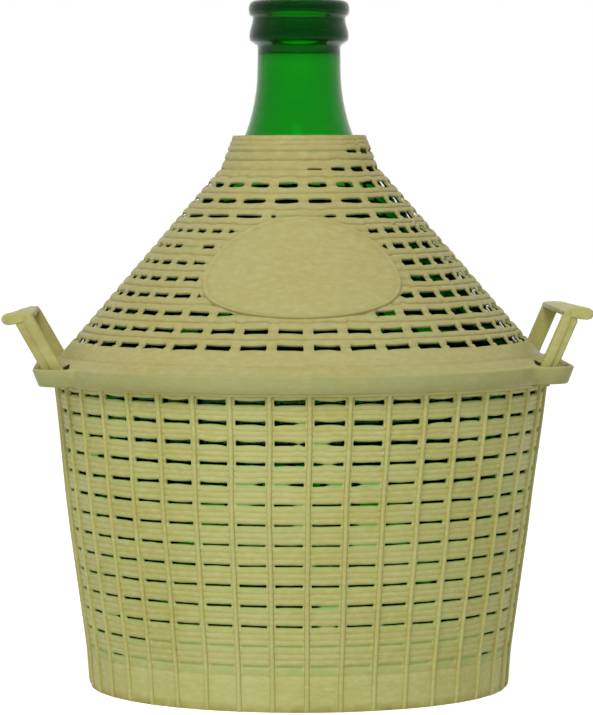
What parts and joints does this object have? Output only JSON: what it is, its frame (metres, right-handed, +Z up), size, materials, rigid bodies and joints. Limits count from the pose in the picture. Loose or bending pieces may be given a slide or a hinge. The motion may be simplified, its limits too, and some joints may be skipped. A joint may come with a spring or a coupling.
{
  "type": "demijohn",
  "caption": "Green glass demijohn with a narrow open neck, seated in a slotted plastic basket with two handles under a conical slotted cover.",
  "frame": {"origin": "middle of the basket's foot, on the surface that it stands on", "axes": "+Z up along the bottle's axis, towards the mouth; -Y is the front, with the plate; +X and -X are the handles"},
  "size_m": [0.2647, 0.2344, 0.313],
  "materials": {
    "green_glass": "clear green glass",
    "basket_plastic": "aged cream plastic, satin",
    "cover_plastic": "aged tan plastic, satin"
  },
  "bodies": {
    "root": {"glass_bottle": "green_glass", "basket": "basket_plastic", "cover": "cover_plastic"}
  },
  "joints": []
}
